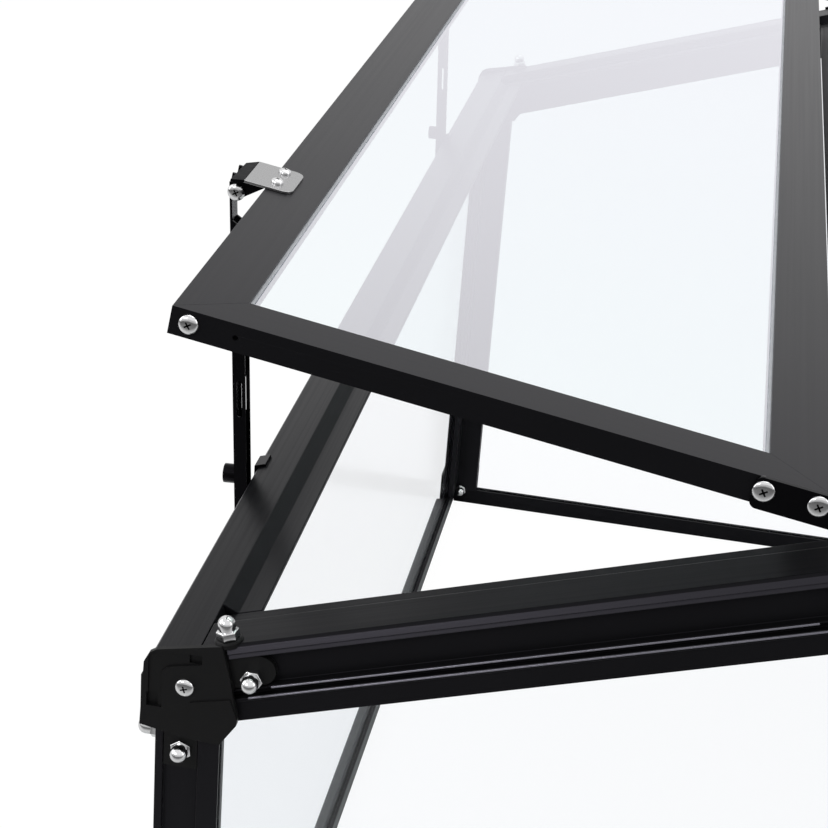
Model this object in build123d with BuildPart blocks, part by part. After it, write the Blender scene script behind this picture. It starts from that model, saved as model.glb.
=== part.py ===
"""A small glass greenhouse, or cold frame: a black aluminium frame with clear panes,
two roof pitches, and a framed lid on each pitch that hinges at the ridge and is
propped by two slotted stays at the eave.

X runs across the ridge, Y along it and Z up. The origin is on the ground, under the
middle of the ridge. The lids are drawn open, as they stand when propped."""

from build123d import *
import os
from math import cos, sin, tan, atan2, radians, degrees, hypot

os.makedirs("parts", exist_ok=True)

# Whole frame
length = 1200.0
half_width = 382.0
eave_height = 497.0
roof_pitch = 17.6

# Roof rail, the section shared by eaves and rafters
rail_depth = 45.2
rail_width = 48.0
rail_flat = 27.5
rail_step_run = 7.0
rail_step = 6.6
rail_leg = 16.0
rail_nose = 1.5
rail_inner_depth = 15.3
rail_lip = 8.2
rail_recess = 5.0
rail_recess_end = 25.8
rail_groove_end = 31.3
rail_groove = 3.5
rail_lower_set = 1.2
rail_bead = 2.1

# Eave rail, where it differs
eave_ledge = 2.2
eave_recess = 6.0
eave_bead_set = 2.6
eave_lower_set = 3.6

# Walls
wall_inset = 3.0
post_face = 35.0
post_leg = 12.0
post_lip = 4.4
post_recess = 3.0
post_channel = 19.0
post_drop = 42.2
pane = 4.0
pane_set = 2.6
pane_clear = 0.2
slot_depth = 9.0
pane_bite = 7.0
bottom_width = 9.5
bottom_height = 17.0

# Corner fittings
fitting_skin = 3.0
fitting_rise = 1.5
fitting_clear = 0.3
joint_gap = 0.5
tongue_length = 28.0
post_tongue = 26.0
cheek_length = 48.0
cheek_foot = 40.0
cheek_height = 30.0
fitting_reach = 41.5
fitting_relief = 1.0
fitting_pocket = 2.5
fitting_pad = 0.7
foot_height = 44.0

# Lids
lid_inset = 19.3
lid_lift = 5.0
lid_ridge_gap = 50.46
lid_end_inset = 14.0
lid_bar = 32.0
lid_end_bar = 28.0
lid_depth = 15.0
lid_slot_depth = 8.0
lid_hole_place = 33.5
lid_hole_level = 7.5
lid_hole_radius = 1.5
lid_hole_depth = 3.0
open_angle = 26.65

# Hinges
hinge_back = 20.46
hinge_rise = 6.8
hinge_plate_hold = 38.0
hinge_plate_corner = 4.0
hinge_plate = 2.5
hinge_plate_height = 17.0
hinge_plate_drop = 1.5
hinge_pin = 2.5
hinge_clear = 0.1
hinge_ear = 3.0
hinge_gap = 0.6
hinge_base_over = 9.0
hinge_base_rise = 8.0
hinge_pin_end = 7.0

# Stays
stay_place = 220.0
stay_out = 17.5
stay_up = 4.5
stay_lean = 2.9
stay_outer = 4.8
stay_inner = 3.0
stay_width = 12.0
stay_wall = 1.5
stay_top = 5.0
stay_length = 232.0
stay_slots = [(36.0, 22.0), (132.0, 24.0), (214.0, 22.0)]
stay_slot = 3.2
stay_neck = 20.0
stay_ear = 4.4
stay_hole_clear = 0.1
stay_pin = 2.4
bracket_plate = 1.6
bracket_near = 13.0
bracket_length = 29.0
bracket_over = 19.0
bracket_round = 6.0
lug_plate = 1.6
lug_gap = 0.5
lug_radius = 4.5
knob_place = 185.0
knob_radius = 6.0
knob_depth = 7.3
clip_plate = 1.6
clip_width = 14.5
clip_clear = 3.0
clip_drop = 24.0
clip_hook = 6.0

# Derived values
pitch = radians(roof_pitch)
slope_length = half_width / cos(pitch)
ledge = rail_step + rail_inner_depth
half_length = length / 2
lid_slope = slope_length - lid_inset - lid_ridge_gap
pivot_s = slope_length - hinge_back
hinge_reach = pivot_s - lid_inset
opening = radians(open_angle)


def roof_point(s, v):
    """Left pitch: s runs up the slope from the eave's edge, v stands off the roof."""
    x = -half_width + s * cos(pitch) - v * sin(pitch)
    z = eave_height + s * sin(pitch) + v * cos(pitch)
    return (x, z)


pivot_v = lid_lift + hinge_rise
pivot_x, pivot_z = roof_point(pivot_s, pivot_v)


def lid_point(along, up):
    """Left lid as propped: along runs up the lid from its low edge, up is its normal."""
    x, z = roof_point(lid_inset + along, lid_lift + up)
    dx = x - pivot_x
    dz = z - pivot_z
    return (
        pivot_x + dx * cos(opening) + dz * sin(opening),
        pivot_z - dx * sin(opening) + dz * cos(opening),
    )


lid_tilt = pitch - opening
lid_along = (cos(lid_tilt), 0, sin(lid_tilt))
lid_normal = (-sin(lid_tilt), 0, cos(lid_tilt))
slope_along = (cos(pitch), 0, sin(pitch))

print("lid low corner", lid_point(0, 0), "pivot", (pivot_x, pivot_z))


def save(part, label):
    part.label = label
    export_step(part, "parts/" + label + ".step")


def save_mirrored(part, label, plane):
    with BuildPart() as copy:
        mirror(part, about=plane)
    save(copy.part, label)
    return copy.part


def save_four(part, name, end="near"):
    """The piece as built stands at the left near corner; the others mirror it."""
    save(part, name + "_left_near")
    far = save_mirrored(part, name + "_left_far", Plane.XZ)
    save_mirrored(part, name + "_right_near", Plane.YZ)
    save_mirrored(far, name + "_right_far", Plane.YZ)


# Sections
def rail_outline():
    """Roof rail: u runs inwards from its outer edge, v stands off the roof plane."""
    return [
        (rail_nose, 0),
        (rail_flat, 0),
        (rail_flat + rail_step_run, -rail_step),
        (rail_width, -rail_step),
        (rail_width, -ledge),
        (rail_leg, -ledge),
        (rail_leg, -rail_depth),
        (rail_lower_set, -rail_depth),
        (rail_lower_set, -rail_groove_end - rail_bead),
        (0, -rail_groove_end - rail_bead),
        (0, -rail_groove_end),
        (rail_lower_set + rail_groove, -rail_groove_end),
        (rail_lower_set + rail_groove, -rail_recess_end - rail_lower_set),
        (0, -rail_recess_end - rail_lower_set),
        (0, -rail_recess_end),
        (rail_recess, -rail_recess_end),
        (rail_recess, -rail_lip),
        (0, -rail_lip),
        (0, -rail_nose),
    ]


# Eave rails, with the roof's section above and an upright leg for the wall
eave_under = rail_step + eave_ledge
leg_s = (rail_leg - eave_under * sin(pitch)) / cos(pitch)
leg_foot = eave_height - post_drop + joint_gap


def eave_outline():
    edge = -half_width
    lower = edge + eave_lower_set
    bead = edge + eave_bead_set
    recess = edge + eave_recess
    groove_top = eave_height - rail_recess_end - rail_lower_set
    groove_foot = eave_height - rail_groove_end
    return [
        roof_point(rail_nose, 0),
        roof_point(rail_flat, 0),
        roof_point(rail_flat + rail_step_run, -rail_step),
        roof_point(rail_width, -rail_step),
        roof_point(rail_width, -eave_under),
        roof_point(leg_s, -eave_under),
        (edge + rail_leg, leg_foot),
        (lower, leg_foot),
        (lower, groove_foot),
        (lower + rail_groove, groove_foot),
        (lower + rail_groove, groove_top),
        (bead, groove_top),
        (bead, eave_height - rail_recess_end),
        (recess, eave_height - rail_recess_end),
        (recess, eave_height - rail_lip),
        (edge, eave_height - rail_lip),
        (edge, eave_height - rail_nose),
    ]


eave_plane = Plane(
    origin=(-half_width, half_length, eave_height),
    x_dir=slope_along,
    z_dir=(0, -1, 0),
)
with BuildPart() as eave:
    with BuildSketch(Plane.XZ.offset(-half_length)):
        with BuildLine():
            Polyline(*eave_outline(), close=True)
        make_face()
    extrude(amount=length)
    # beyond the flat, each end makes room for the rafter
    for end in (0, length - rail_width - joint_gap):
        with BuildSketch(eave_plane.offset(end)):
            with Locations((rail_flat, -rail_depth / 2)):
                Rectangle(
                    rail_width,
                    rail_depth * 2,
                    align=(Align.MIN, Align.CENTER),
                )
        extrude(amount=rail_width + joint_gap, mode=Mode.SUBTRACT)
    # groove that takes the top of the side pane
    with BuildSketch(Plane.XY.offset(leg_foot)):
        with Locations((-half_width + wall_inset + pane_set + pane / 2, 0)):
            Rectangle(pane + 2 * pane_clear, length)
    extrude(amount=slot_depth, mode=Mode.SUBTRACT)
save(eave.part, "eave_rail_left")
save_mirrored(eave.part, "eave_rail_right", Plane.YZ)

# Rafters
rafter_start = rail_flat + joint_gap
rafter_end = slope_length - rail_flat - joint_gap
start_x, start_z = roof_point(rafter_start, 0)
rafter_plane = Plane(
    origin=(start_x, -half_length, start_z),
    x_dir=(0, 1, 0),
    z_dir=slope_along,
)
with BuildPart() as rafter:
    with BuildSketch(rafter_plane):
        with BuildLine():
            Polyline(*rail_outline(), close=True)
        make_face()
        with Locations((wall_inset + pane_set + pane / 2, -rail_depth)):
            Rectangle(
                pane + 2 * pane_clear,
                slot_depth * 2,
                mode=Mode.SUBTRACT,
            )
    extrude(amount=rafter_end - rafter_start)
save_four(rafter.part, "rafter")


# Ridge beam
def ridge_half():
    inner = slope_length - rail_width
    step = slope_length - rail_flat
    return [
        roof_point(slope_length, 0),
        roof_point(step, 0),
        roof_point(step - rail_step_run, -rail_step),
        roof_point(inner, -rail_step),
        roof_point(inner, -ledge),
        roof_point(slope_length - rail_leg, -ledge),
    ]


ridge_top_z = roof_point(slope_length, 0)[1]
ridge_foot_z = ridge_top_z - rail_depth
with BuildPart() as ridge:
    with BuildSketch(Plane.XZ.offset(-half_length)):
        with BuildLine():
            left = ridge_half()
            foot_x = -rail_leg / 2
            right = [(-x, z) for x, z in reversed(left[1:])]
            Polyline(
                *left,
                (foot_x, ridge_foot_z),
                (-foot_x, ridge_foot_z),
                *right,
                close=True,
            )
        make_face()
    extrude(amount=length)
    # the ledges stop short where the rafters meet the beam
    cut_start = slope_length - rail_flat
    for end in (-half_length, half_length - rail_width - joint_gap):
        with BuildSketch(Plane.XZ.offset(-end)):
            with BuildLine():
                Polyline(
                    roof_point(cut_start, rail_lip),
                    roof_point(cut_start, -rail_depth - rail_lip),
                    roof_point(cut_start - rail_width, -rail_depth - rail_lip),
                    roof_point(cut_start - rail_width, rail_lip),
                    close=True,
                )
            make_face()
            mirror(about=Plane.YZ)
        extrude(amount=-rail_width - joint_gap, mode=Mode.SUBTRACT)
    # room for the gable panes under the beam
    for end in (-1, 1):
        with BuildSketch(Plane.XY.offset(ridge_foot_z)):
            place = half_length - wall_inset - pane_set - pane / 2
            with Locations((0, end * place)):
                Rectangle(2 * rail_width, pane + 2 * pane_clear)
        extrude(amount=slot_depth, mode=Mode.SUBTRACT)
save(ridge.part, "ridge_beam")

# Corner posts
post_x = -half_width + wall_inset
post_y = -half_length + wall_inset
post_top = eave_height - post_drop
with BuildPart() as post:
    with BuildSketch(Plane.XY.offset(bottom_height)):
        with BuildLine():
            Polyline(
                (post_x, post_y),
                (post_x + post_lip, post_y),
                (post_x + post_lip, post_y + post_recess),
                (post_x + post_lip + post_channel, post_y + post_recess),
                (post_x + post_lip + post_channel, post_y),
                (post_x + post_face, post_y),
                (post_x + post_face, post_y + post_leg),
                (post_x + post_leg, post_y + post_leg),
                (post_x + post_leg, post_y + post_face),
                (post_x, post_y + post_face),
                (post_x, post_y + post_lip + post_channel),
                (post_x + post_recess, post_y + post_lip + post_channel),
                (post_x + post_recess, post_y + post_lip),
                (post_x, post_y + post_lip),
                close=True,
            )
        make_face()
        with Locations((post_x + post_face, post_y + pane_set + pane / 2)):
            Rectangle(2 * slot_depth, pane + 2 * pane_clear, mode=Mode.SUBTRACT)
        with Locations((post_x + pane_set + pane / 2, post_y + post_face)):
            Rectangle(pane + 2 * pane_clear, 2 * slot_depth, mode=Mode.SUBTRACT)
    extrude(amount=post_top - bottom_height)
save_four(post.part, "post")

# Bottom rails
side_length = length - 2 * wall_inset
gable_length = 2 * (half_width - wall_inset - bottom_width - joint_gap)
with BuildPart() as side_bottom:
    with BuildSketch(Plane.XZ.offset(-side_length / 2)):
        with Locations((post_x, 0)):
            Rectangle(bottom_width, bottom_height, align=(Align.MIN, Align.MIN))
        with Locations((post_x + pane_set + pane / 2, bottom_height)):
            Rectangle(
                pane + 2 * pane_clear,
                slot_depth * 2,
                mode=Mode.SUBTRACT,
            )
    extrude(amount=side_length)
save(side_bottom.part, "bottom_rail_left")
save_mirrored(side_bottom.part, "bottom_rail_right", Plane.YZ)

with BuildPart() as gable_bottom:
    with BuildSketch(Plane.YZ.offset(-gable_length / 2)):
        with Locations((post_y, 0)):
            Rectangle(bottom_width, bottom_height, align=(Align.MIN, Align.MIN))
        with Locations((post_y + pane_set + pane / 2, bottom_height)):
            Rectangle(
                pane + 2 * pane_clear,
                slot_depth * 2,
                mode=Mode.SUBTRACT,
            )
    extrude(amount=gable_length)
save(gable_bottom.part, "bottom_rail_near")
save_mirrored(gable_bottom.part, "bottom_rail_far", Plane.XZ)

# Side panes
pane_foot = bottom_height - pane_bite
post_inner = post_face - pane_bite
side_pane_top = leg_foot + pane_bite
with BuildPart() as side_pane:
    with BuildSketch(Plane.XY.offset(pane_foot)):
        with Locations((post_x + pane_set + pane / 2, 0)):
            Rectangle(pane, 2 * (-post_y - post_inner))
    extrude(amount=side_pane_top - pane_foot)
save(side_pane.part, "side_pane_left")
save_mirrored(side_pane.part, "side_pane_right", Plane.YZ)

# Gable panes
pane_edge_x = post_x + post_inner
edge_s = (pane_edge_x + half_width) / cos(pitch)
under_edge = -rail_depth / cos(pitch) + pane_bite


def pane_top(x):
    return eave_height + (x + half_width) * tan(pitch) + under_edge


shoulder_x = -half_width + rafter_start * cos(pitch) + rail_depth * sin(pitch) + 1
shoulder_z = post_top
with BuildPart() as gable_pane:
    with BuildSketch(Plane.XZ.offset(-post_y - pane_set - pane)):
        with BuildLine():
            Polyline(
                (pane_edge_x, pane_foot),
                (-pane_edge_x, pane_foot),
                (-pane_edge_x, shoulder_z),
                (-shoulder_x, shoulder_z),
                (-shoulder_x, pane_top(shoulder_x)),
                (0, pane_top(0)),
                (shoulder_x, pane_top(shoulder_x)),
                (shoulder_x, shoulder_z),
                (pane_edge_x, shoulder_z),
                close=True,
            )
        make_face()
    extrude(amount=pane)
    # under the ridge the pane ends inside the beam's groove
    with BuildSketch(Plane.XY.offset(ridge_foot_z + pane_bite)):
        Rectangle(rail_width * 4, length * 2)
    extrude(amount=rail_depth * 2, mode=Mode.SUBTRACT)
save(gable_pane.part, "gable_pane_near")
save_mirrored(gable_pane.part, "gable_pane_far", Plane.XZ)

# Eave fittings, the moulded corners that join post, eave rail and rafter
fitting_edge = [(15.0, -44.0), (-4.0, -40.5), (-2.2, -2.0), (0.7, 3.9), (4.4, 6.4)]
fitting_side = [
    (44.2, -5.8),
    (46.2, -17.7),
    (48.7, -28.3),
    (48.3, -32.1),
    (39.6, -45.7),
    (27.7, -45.7),
]
relief_edge = [
    (0.3, -28.2),
    (0.3, 2.0),
    (3.5, 5.2),
    (28.9, 6.5),
    (28.9, 1.1),
    (14.2, -2.1),
    (10.4, -3.4),
    (7.8, -6.3),
    (7.8, -28.2),
]
pocket_top = [(22.0, 1.0), (28.9, 1.0), (28.9, 6.5), (22.0, 6.5)]
pocket_side = [(-0.5, -28.2), (5.6, -28.2), (5.6, -20.1), (-0.5, -20.1)]
pad_edge = [
    (23.0, -44.4),
    (23.0, -22.5),
    (26.0, -21.5),
    (44.5, -17.0),
    (48.5, -28.3),
    (48.3, -32.1),
    (39.6, -45.5),
]


def at_corner(points):
    """Points measured from the eave's outer edge, in the gable's plane."""
    return [(-half_width + x, eave_height + z) for x, z in points]


outer_face = Plane.XZ.offset(half_length + fitting_skin)
with BuildPart() as fitting:
    with BuildSketch(Plane.XZ.offset(half_length)):
        with BuildLine():
            Polyline(
                *at_corner(fitting_edge),
                roof_point(fitting_reach, fitting_rise),
                *at_corner(fitting_side),
                close=True,
            )
        make_face()
    extrude(amount=fitting_skin)
    with BuildSketch(outer_face):
        with BuildLine():
            Polyline(*at_corner(relief_edge), close=True)
        make_face()
    extrude(amount=-fitting_relief, mode=Mode.SUBTRACT)
    for pocket in (pocket_top, pocket_side):
        with BuildSketch(outer_face):
            with BuildLine():
                Polyline(*at_corner(pocket), close=True)
            make_face()
        extrude(amount=-fitting_pocket, mode=Mode.SUBTRACT)
    with BuildSketch(outer_face):
        with BuildLine():
            Polyline(*at_corner(pad_edge), close=True)
        make_face()
    extrude(amount=fitting_pad)
    # tongue along the rafter's channel
    tongue_top = -rail_lip - fitting_clear
    tongue_low = -rail_recess_end + fitting_clear
    tongue_mid = (tongue_top + tongue_low) / 2
    tongue_half = (tongue_top - tongue_low) / 2
    tongue_plane = Plane(
        origin=(start_x, -half_length, start_z),
        x_dir=slope_along,
        z_dir=(0, -1, 0),
    )
    with BuildSketch(tongue_plane.offset(-rail_recess)):
        with Locations((tongue_length / 2, tongue_mid)):
            Rectangle(tongue_length, 2 * tongue_half)
        with Locations((tongue_length, tongue_mid)):
            Circle(tongue_half)
    extrude(amount=rail_recess - 1)
    with BuildSketch(tongue_plane.offset(-rail_recess)):
        with Locations((6, tongue_mid)):
            Rectangle(12, 2 * tongue_half)
    extrude(amount=rail_recess)
    # tongue down the post's channel
    tongue_x = post_x + post_lip + post_channel / 2
    with BuildSketch(Plane.XZ.offset(-post_y - post_recess)):
        with Locations((tongue_x, post_top)):
            Rectangle(
                post_channel - 2 * fitting_clear,
                post_tongue,
                align=(Align.CENTER, Align.MAX),
            )
    extrude(amount=post_recess - 0.6)
    with BuildSketch(Plane.XZ.offset(half_length + fitting_skin / 2)):
        with Locations((tongue_x, post_top)):
            Rectangle(
                post_channel - 2 * fitting_clear,
                4 * joint_gap,
                align=(Align.CENTER, Align.MAX),
            )
    extrude(amount=-fitting_skin / 2 - wall_inset - post_recess)
    # side cheek
    with BuildSketch(Plane.YZ.offset(-half_width - joint_gap)):
        with Locations((-half_length - fitting_skin, eave_height - cheek_foot)):
            Rectangle(cheek_length, cheek_height, align=(Align.MIN, Align.MIN))
    extrude(amount=-fitting_skin)
save_four(fitting.part, "eave_fitting")

# Ridge fittings
with BuildPart() as ridge_fitting:
    with BuildSketch(Plane.XZ.offset(half_length)):
        reach = slope_length - fitting_reach
        low = roof_point(reach, -rail_depth - 1)
        high = roof_point(reach, fitting_rise)
        apex_z = ridge_top_z + fitting_rise / cos(pitch)
        with BuildLine():
            Polyline(
                high,
                (0, apex_z),
                (-high[0], high[1]),
                (-low[0], low[1]),
                (rail_leg, ridge_foot_z - 12),
                (-rail_leg, ridge_foot_z - 12),
                low,
                close=True,
            )
        make_face()
    extrude(amount=fitting_skin)
save(ridge_fitting.part, "ridge_fitting_near")
save_mirrored(ridge_fitting.part, "ridge_fitting_far", Plane.XZ)

# Foot fittings
with BuildPart() as foot:
    with BuildSketch(Plane.XY):
        with Locations((post_x - fitting_skin, post_y - fitting_skin)):
            Rectangle(
                post_face + fitting_skin,
                fitting_skin,
                align=(Align.MIN, Align.MIN),
            )
            Rectangle(
                fitting_skin,
                post_face + fitting_skin,
                align=(Align.MIN, Align.MIN),
            )
    extrude(amount=foot_height)
save_four(foot.part, "foot_fitting")

# Lids
lid_low_x, lid_low_z = lid_point(0, 0)
lid_near_y = -half_length + lid_end_inset
lid_width = length - 2 * lid_end_inset
lid_edge_plane = Plane(
    origin=(lid_low_x, -lid_near_y, lid_low_z),
    x_dir=lid_along,
    z_dir=(0, -1, 0),
)
pane_level = lid_depth - 5.0
slot_half = pane / 2 + pane_clear


lid_plane = Plane(
    origin=(lid_low_x, lid_near_y, lid_low_z),
    x_dir=lid_along,
    z_dir=lid_normal,
)


def mitre(outer, inner):
    """The corners outside a bar's mitres; along the lid first, then across it."""
    corners = []
    for edge, turn in ((0, 1), (lid_width, -1)):
        corners.append(
            [(outer, edge), (inner, edge), (inner, edge + turn * lid_end_bar)]
        )
    return corners


def lid_side_bar(start, groove_at, outer, inner):
    with BuildPart() as bar:
        with BuildSketch(lid_edge_plane):
            with Locations((start, 0)):
                Rectangle(lid_bar, lid_depth, align=(Align.MIN, Align.MIN))
            with Locations((groove_at, pane_level)):
                Rectangle(2 * lid_slot_depth, 2 * slot_half, mode=Mode.SUBTRACT)
        extrude(amount=lid_width)
        for corner in mitre(outer, inner):
            with BuildSketch(lid_plane):
                with BuildLine():
                    Polyline(*corner, close=True)
                make_face()
            extrude(amount=lid_depth, mode=Mode.SUBTRACT)
    return bar.part


high_edge = lid_slope - lid_bar
low_bar = lid_side_bar(0, lid_bar, 0, lid_bar)
high_bar = lid_side_bar(high_edge, high_edge, lid_slope, high_edge)
save(low_bar, "lid_left_low_bar")
save(high_bar, "lid_left_high_bar")
save_mirrored(low_bar, "lid_right_low_bar", Plane.YZ)
save_mirrored(high_bar, "lid_right_high_bar", Plane.YZ)

end_plane = Plane(
    origin=(lid_low_x, lid_near_y, lid_low_z),
    x_dir=(0, 1, 0),
    z_dir=lid_along,
)
hole_x, hole_z = lid_point(lid_hole_place, lid_hole_level)
with BuildPart() as end_bar:
    with BuildSketch(end_plane):
        Rectangle(lid_end_bar, lid_depth, align=(Align.MIN, Align.MIN))
        with Locations((lid_end_bar, pane_level)):
            Rectangle(2 * lid_slot_depth, 2 * slot_half, mode=Mode.SUBTRACT)
    extrude(amount=lid_slope)
    for outer, inner in ((0, lid_bar), (lid_slope, high_edge)):
        with BuildSketch(lid_plane):
            with BuildLine():
                Polyline(
                    (outer, 0),
                    (outer, lid_end_bar),
                    (inner, lid_end_bar),
                    close=True,
                )
            make_face()
        extrude(amount=lid_depth, mode=Mode.SUBTRACT)
    with BuildSketch(Plane.XZ.offset(-lid_near_y)):
        with Locations((hole_x, hole_z)):
            Circle(lid_hole_radius)
    extrude(amount=-lid_hole_depth, mode=Mode.SUBTRACT)
save(end_bar.part, "lid_left_near_bar")
far_bar = save_mirrored(end_bar.part, "lid_left_far_bar", Plane.XZ)
save_mirrored(end_bar.part, "lid_right_near_bar", Plane.YZ)
save_mirrored(far_bar, "lid_right_far_bar", Plane.YZ)

pane_hold = lid_slot_depth - 1.0
lid_pane_slope = lid_slope - 2 * lid_bar + 2 * pane_hold
lid_pane_width = lid_width - 2 * lid_end_bar + 2 * pane_hold
pane_x, pane_z = lid_point(lid_slope / 2, pane_level - pane / 2)
lid_pane_plane = Plane(origin=(pane_x, 0, pane_z), x_dir=lid_along, z_dir=lid_normal)
with BuildPart() as lid_pane:
    with BuildSketch(lid_pane_plane):
        Rectangle(lid_pane_slope, lid_pane_width)
    extrude(amount=pane)
save(lid_pane.part, "lid_left_pane")
save_mirrored(lid_pane.part, "lid_right_pane", Plane.YZ)

# Hinge plates on the lids' ends
hinge_plane = Plane(
    origin=(lid_low_x, lid_near_y, lid_low_z),
    x_dir=lid_along,
    z_dir=(0, -1, 0),
)
hinge_start = lid_slope - hinge_plate_hold
with BuildPart() as hinge:
    with BuildSketch(hinge_plane):
        with Locations((hinge_start, -hinge_plate_drop)):
            Rectangle(
                hinge_reach - hinge_start,
                hinge_plate_height,
                align=(Align.MIN, Align.MIN),
            )
        fillet(vertices().sort_by(Axis.X)[:2], hinge_plate_corner)
        with Locations((hinge_reach, hinge_rise)):
            Circle(hinge_pin_end)
            Circle(hinge_pin + hinge_clear, mode=Mode.SUBTRACT)
    extrude(amount=hinge_plate)
hinge_far = mirror(hinge.part, about=Plane.XZ)
with BuildPart() as hinge_pair:
    add(hinge.part)
    add(hinge_far)
save(hinge_pair.part, "lid_left_hinge_plates")
save_mirrored(hinge_pair.part, "lid_right_hinge_plates", Plane.YZ)

# Hinge brackets on the ridge, each an ear with two pins
ear_y = lid_near_y - hinge_plate - hinge_gap
with BuildPart() as bracket:
    with BuildSketch(Plane.XZ.offset(-ear_y)):
        base_x = pivot_x - hinge_base_over
        base_z = roof_point(slope_length + base_x / cos(pitch), 0)[1]
        base_top = base_z + hinge_base_rise
        ear_top = pivot_z + hinge_pin_end
        with BuildLine():
            Polyline(
                (base_x, base_z),
                (0, ridge_top_z),
                (-base_x, base_z),
                (-base_x, base_top),
                (-pivot_x, ear_top),
                (pivot_x, ear_top),
                (base_x, base_top),
                close=True,
            )
        make_face()
    extrude(amount=hinge_ear)
    with BuildSketch(Plane.XZ.offset(-ear_y)):
        with Locations((pivot_x, pivot_z), (-pivot_x, pivot_z)):
            Circle(hinge_pin)
    extrude(amount=-hinge_plate - hinge_gap - 1.5)
save(bracket.part, "hinge_bracket_near")
save_mirrored(bracket.part, "hinge_bracket_far", Plane.XZ)

# Stay brackets on the lids' low bars
stay_y = -half_length + stay_place
stay_x, stay_z = lid_point(-stay_out, stay_up)
top_x, top_z = lid_point(0, lid_depth)
plate_plane = Plane(
    origin=(top_x, stay_y, top_z),
    x_dir=lid_along,
    z_dir=lid_normal,
)
with BuildPart() as stay_bracket:
    with BuildSketch(plate_plane):
        with Locations((-stay_out, -bracket_near)):
            Rectangle(
                stay_out + bracket_over,
                bracket_length,
                align=(Align.MIN, Align.MIN),
            )
        fillet(vertices().sort_by(Axis.X)[-2:], bracket_round)
    extrude(amount=bracket_plate)
bracket_far = mirror(stay_bracket.part, about=Plane.XZ)
with BuildPart() as bracket_pair:
    add(stay_bracket.part)
    add(bracket_far)
save(bracket_pair.part, "lid_left_stay_brackets")
save_mirrored(bracket_pair.part, "lid_right_stay_brackets", Plane.YZ)

# Lugs under the brackets, with the pin that the stay turns on
lug_side = stay_width / 2 + lug_gap
with BuildPart() as stay_lug:
    for side in (-1, 1):
        lug_plane = Plane(
            origin=(top_x, stay_y + side * lug_side, top_z),
            x_dir=lid_along,
            z_dir=(0, -1, 0),
        )
        with BuildSketch(lug_plane):
            with BuildLine():
                Polyline(
                    (-stay_out - lug_radius, 0),
                    (-1, 0),
                    (-1, -3),
                    (lug_radius * 0.7 - stay_out, stay_up - lid_depth - lug_radius * 0.7),
                    (-stay_out, stay_up - lid_depth),
                    (-stay_out - lug_radius, stay_up - lid_depth),
                    close=True,
                )
            make_face()
            with Locations((-stay_out, stay_up - lid_depth)):
                Circle(lug_radius)
        extrude(amount=-side * lug_plate)
    pin_plane = Plane(origin=(stay_x, stay_y, stay_z), z_dir=(0, 1, 0))
    with BuildSketch(pin_plane):
        Circle(stay_pin)
    extrude(amount=lug_side + lug_plate, both=True)
lug_far = mirror(stay_lug.part, about=Plane.XZ)
with BuildPart() as lug_pair:
    add(stay_lug.part)
    add(lug_far)
save(lug_pair.part, "lid_left_stay_lugs")
save_mirrored(lug_pair.part, "lid_right_stay_lugs", Plane.YZ)

# Stays, folded channels with slots in their sides
lean = radians(stay_lean)
stay_down = (sin(lean), 0, -cos(lean))
stay_across = (cos(lean), 0, sin(lean))
stay_plane = Plane(
    origin=(stay_x, stay_y, stay_z),
    x_dir=stay_across,
    z_dir=(0, -1, 0),
)
with BuildPart() as stay:
    with BuildSketch(stay_plane):
        with Locations((-stay_outer, stay_top)):
            Rectangle(
                stay_outer + stay_inner,
                stay_top + stay_length,
                align=(Align.MIN, Align.MAX),
            )
    extrude(amount=stay_width / 2, both=True)
    with BuildSketch(stay_plane):
        with Locations((-stay_outer + stay_wall, stay_top * 2)):
            Rectangle(
                stay_outer + stay_inner,
                stay_top * 3 + stay_length,
                align=(Align.MIN, Align.MAX),
            )
    extrude(amount=stay_width / 2 - stay_wall, both=True, mode=Mode.SUBTRACT)
    # below the pivot's ears the sides are cut back, to pass the eave when shut
    with BuildSketch(stay_plane):
        with BuildLine():
            Polyline(
                (-stay_outer + stay_wall, -stay_ear),
                (stay_inner * 3, -stay_ear),
                (stay_inner * 3, -stay_neck - stay_inner),
                (stay_inner, -stay_neck - stay_inner),
                (-stay_outer + stay_wall, -stay_neck + stay_wall),
                close=True,
            )
        make_face()
    extrude(amount=stay_width, both=True, mode=Mode.SUBTRACT)
    with BuildSketch(stay_plane):
        Circle(stay_pin + stay_hole_clear)
        for place, run in stay_slots:
            with Locations((-stay_wall / 2, -place)):
                SlotOverall(run, stay_slot, rotation=90)
    extrude(amount=stay_width, both=True, mode=Mode.SUBTRACT)
    # thumb screw that clamps the stay at the eave
    knob_plane = Plane(
        origin=(
            stay_x + knob_place * sin(lean) - stay_outer * cos(lean),
            stay_y,
            stay_z - knob_place * cos(lean) - stay_outer * sin(lean),
        ),
        z_dir=(-cos(lean), 0, -sin(lean)),
    )
    with BuildSketch(knob_plane):
        Circle(knob_radius)
    extrude(amount=knob_depth)
save_four(stay.part, "stay")

# Clips on the eave rails, where the stays are held
with BuildPart() as clip:
    clip_y = stay_y + stay_width / 2 + clip_clear
    clip_x = -half_width - clip_plate
    clip_foot = eave_height - clip_drop
    clip_corner = eave_height + clip_plate * (1 / cos(pitch) - tan(pitch))
    with BuildSketch(Plane.XZ.offset(-clip_y)):
        with BuildLine():
            Polyline(
                roof_point(0, 0),
                (-half_width, clip_foot),
                (clip_x, clip_foot),
                (clip_x, clip_corner),
                roof_point(clip_hook, clip_plate),
                roof_point(clip_hook, 0),
                close=True,
            )
        make_face()
    extrude(amount=-clip_width)
clip_far = mirror(clip.part, about=Plane.XZ)
with BuildPart() as clip_pair:
    add(clip.part)
    add(clip_far)
save(clip_pair.part, "stay_clips_left")
save_mirrored(clip_pair.part, "stay_clips_right", Plane.YZ)
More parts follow.
